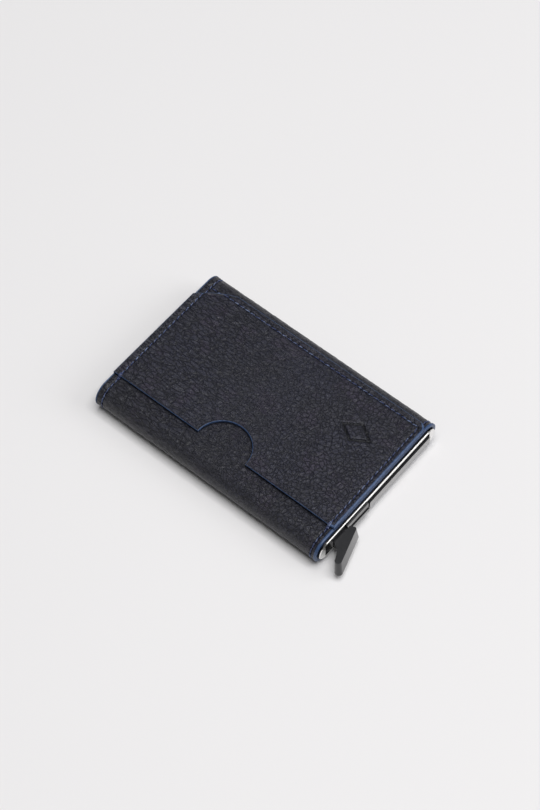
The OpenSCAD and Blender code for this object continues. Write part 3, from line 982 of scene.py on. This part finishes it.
def bevelled_copy(node, name, material, width, body="case"):
    """A CAD part rebuilt with clean faces and small rounded edges, standing for its node."""
    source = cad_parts[node].data
    mesh = bpy.data.meshes.new(name)
    bm = bmesh.new()
    bm.from_mesh(source)
    bmesh.ops.remove_doubles(bm, verts=bm.verts, dist=1e-6)
    bmesh.ops.dissolve_limit(bm, angle_limit=math.radians(1.5), verts=bm.verts, edges=bm.edges)
    bm.to_mesh(mesh)
    bm.free()
    mesh.materials.append(material)
    mesh.polygons.foreach_set("use_smooth", [True] * len(mesh.polygons))
    mesh.set_sharp_from_angle(angle=BEVEL_ANGLE)
    piece = bpy.data.objects.new(name, mesh)
    bpy.context.scene.collection.objects.link(piece)
    soften(piece, width, 3, BEVEL_ANGLE)
    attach(piece, body)
    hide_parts(node)
    return piece


def pad_piece(node, name, seed):
    """A felt strip with soft edges and an uneven napped surface."""
    lo, hi = box_mm(node)
    middle = (lo.z + hi.z) / 2
    half = (hi.z - lo.z) / 2
    loop = []
    radius = 2.0
    for cx, cy, first in ((hi.x - radius, hi.y - radius, 0), (lo.x + radius, hi.y - radius, 90),
                          (lo.x + radius, lo.y + radius, 180), (hi.x - radius, lo.y + radius, 270)):
        loop += [(cx + radius * math.cos(math.radians(first + a)),
                  cy + radius * math.sin(math.radians(first + a))) for a in range(0, 91, 15)]
    loop = np.array(loop)

    def depth(p):
        return np.minimum.reduce([p[:, 0] - lo.x, hi.x - p[:, 0], p[:, 1] - lo.y, hi.y - p[:, 1]])

    def nap(p, sign):
        rise = half * np.sqrt(np.clip(smoothstep(depth(p), -0.05, 0.8), 0.02, 1))
        fuzz = np.array([noise.noise(Vector((*q, seed)) * 0.9) * 0.04 for q in p])
        return middle + sign * np.clip(rise + fuzz - 0.03, 0.02, half)

    inside = grid_inside(0.5, 0.5, depth, lo, hi)
    verts, faces = sheet_mesh(loop, inside, lambda p: nap(p, 1), lambda p: nap(p, -1), inside)
    return outward(make_piece(name, verts, faces, [FELT], [node]))


def hard_parts():
    case_piece()
    bevelled_copy("base_block", "end_block", BLOCK_PLASTIC, 0.16)
    lever = bevelled_copy("eject_lever", "thumb_lever", LEVER_PLASTIC, 0.36, "lever")
    lever.data.materials.append(THUMB_PLASTIC)
    for face in lever.data.polygons:
        if abs(face.normal.z) < 0.5:
            face.material_index = 1
    for node in ("lever_pivot_pin", "block_retaining_pins"):
        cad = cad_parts[node]
        cad.data.materials.clear()
        cad.data.materials.append(STEEL)
    pad_piece("front_friction_pad", "front_felt", 5)
    pad_piece("back_friction_pad", "back_felt", 9)


def soft_parts():
    lining = [(LINING_LO.x, LINING_R - 0.02), (LINING_LO.x, FILM_R + 0.02),
              (LINING_HI.x, FILM_R + 0.02), (LINING_HI.x, LINING_R - 0.02)]
    ring_piece("cover_lining", lining, [LINING], ["wrap_lining"])
    film = [(FILM_LO.x, FILM_R), (FILM_LO.x, CASE_R + 0.02),
            (FILM_HI.x, CASE_R + 0.02), (FILM_HI.x, FILM_R)]
    ring_piece("glue_film", film, [FILM], ["wrap_adhesive"])
    wrap_piece()
    edge_bead("mouth_edge_bead", MOUTH_X, -1, "mouth_edge_paint", 2, COVER_MOUTH_LAP)
    edge_bead("lever_edge_bead", COVER_X, 1, "lever_edge_paint", 7, COVER_LEVER_LAP)
    panel_piece()
    panel_bead()
    pocket_lining_piece()
    thread_piece("mouth_end_thread", MOUTH_STITCHES + WRAP_STITCHES[0], "mouth_end_stitching")
    thread_piece("lever_end_thread", LEVER_STITCHES + WRAP_STITCHES[1], "lever_end_stitching")
    thread_piece("far_side_thread", FAR_STITCHES + STEP_STITCHES, "pocket_far_stitching")
    tack_piece()


# ---------------------------------------------------------------- stage, lights, camera

def stage():
    """A plain pale floor and a pale surround."""
    scene = bpy.context.scene
    scene.view_settings.view_transform = "Standard"
    half = FLOOR_SIZE / 2
    mesh = bpy.data.meshes.new("floor")
    mesh.from_pydata([(-half, -half, 0), (half, -half, 0), (half, half, 0), (-half, half, 0)],
                     [], [(0, 1, 2, 3)])
    floor = bpy.data.objects.new("floor", mesh)
    scene.collection.objects.link(floor)
    g = Graph("floor")
    paper = g.noise(0.004, 2).outputs[0]
    mesh.materials.append(g.set(
        Base_Color=g.mix(paper, (0.795, 0.785, 0.790), (0.815, 0.805, 0.810)),
        Roughness=0.9, Specular_IOR_Level=0.2))
    world = bpy.data.worlds.new("surround")
    world.use_nodes = True
    surround = world.node_tree.nodes["Background"]
    surround.inputs[0].default_value = (1, 0.995, 0.995, 1)
    surround.inputs[1].default_value = 0.11
    scene.world = world


def softbox(name, place, size, watts):
    """A square area light aimed at the object."""
    data = bpy.data.lights.new(name, "AREA")
    data.shape, data.size, data.energy = "SQUARE", size, watts
    lamp = bpy.data.objects.new(name, data)
    lamp.location = place
    lamp.rotation_mode = "QUATERNION"
    lamp.rotation_quaternion = (-Vector(place)).to_track_quat("-Z", "Y")
    bpy.context.scene.collection.objects.link(lamp)


def camera():
    data = bpy.data.cameras.new("camera")
    data.lens, data.sensor_width = CAMERA_LENS, 36
    data.clip_start, data.clip_end = 0.05, 20
    eye = bpy.data.objects.new("camera", data)
    a, e = math.radians(CAMERA_AZIMUTH), math.radians(CAMERA_ELEVATION)
    back = Vector((math.sin(a) * math.cos(e), -math.cos(a) * math.cos(e), math.sin(e)))
    eye.location = Vector(CAMERA_TARGET) + back * CAMERA_DISTANCE
    eye.rotation_mode = "QUATERNION"
    eye.rotation_quaternion = (-back).to_track_quat("-Z", "Y")
    bpy.context.scene.collection.objects.link(eye)
    bpy.context.scene.camera = eye


camera()
stage()
softbox("overhead_light", place=(0.30, 0.04, 1.98), size=1.4, watts=37.4)
softbox("corner_light", place=(1.39, 0.90, 1.09), size=1.3, watts=12)
hard_parts()
soft_parts()
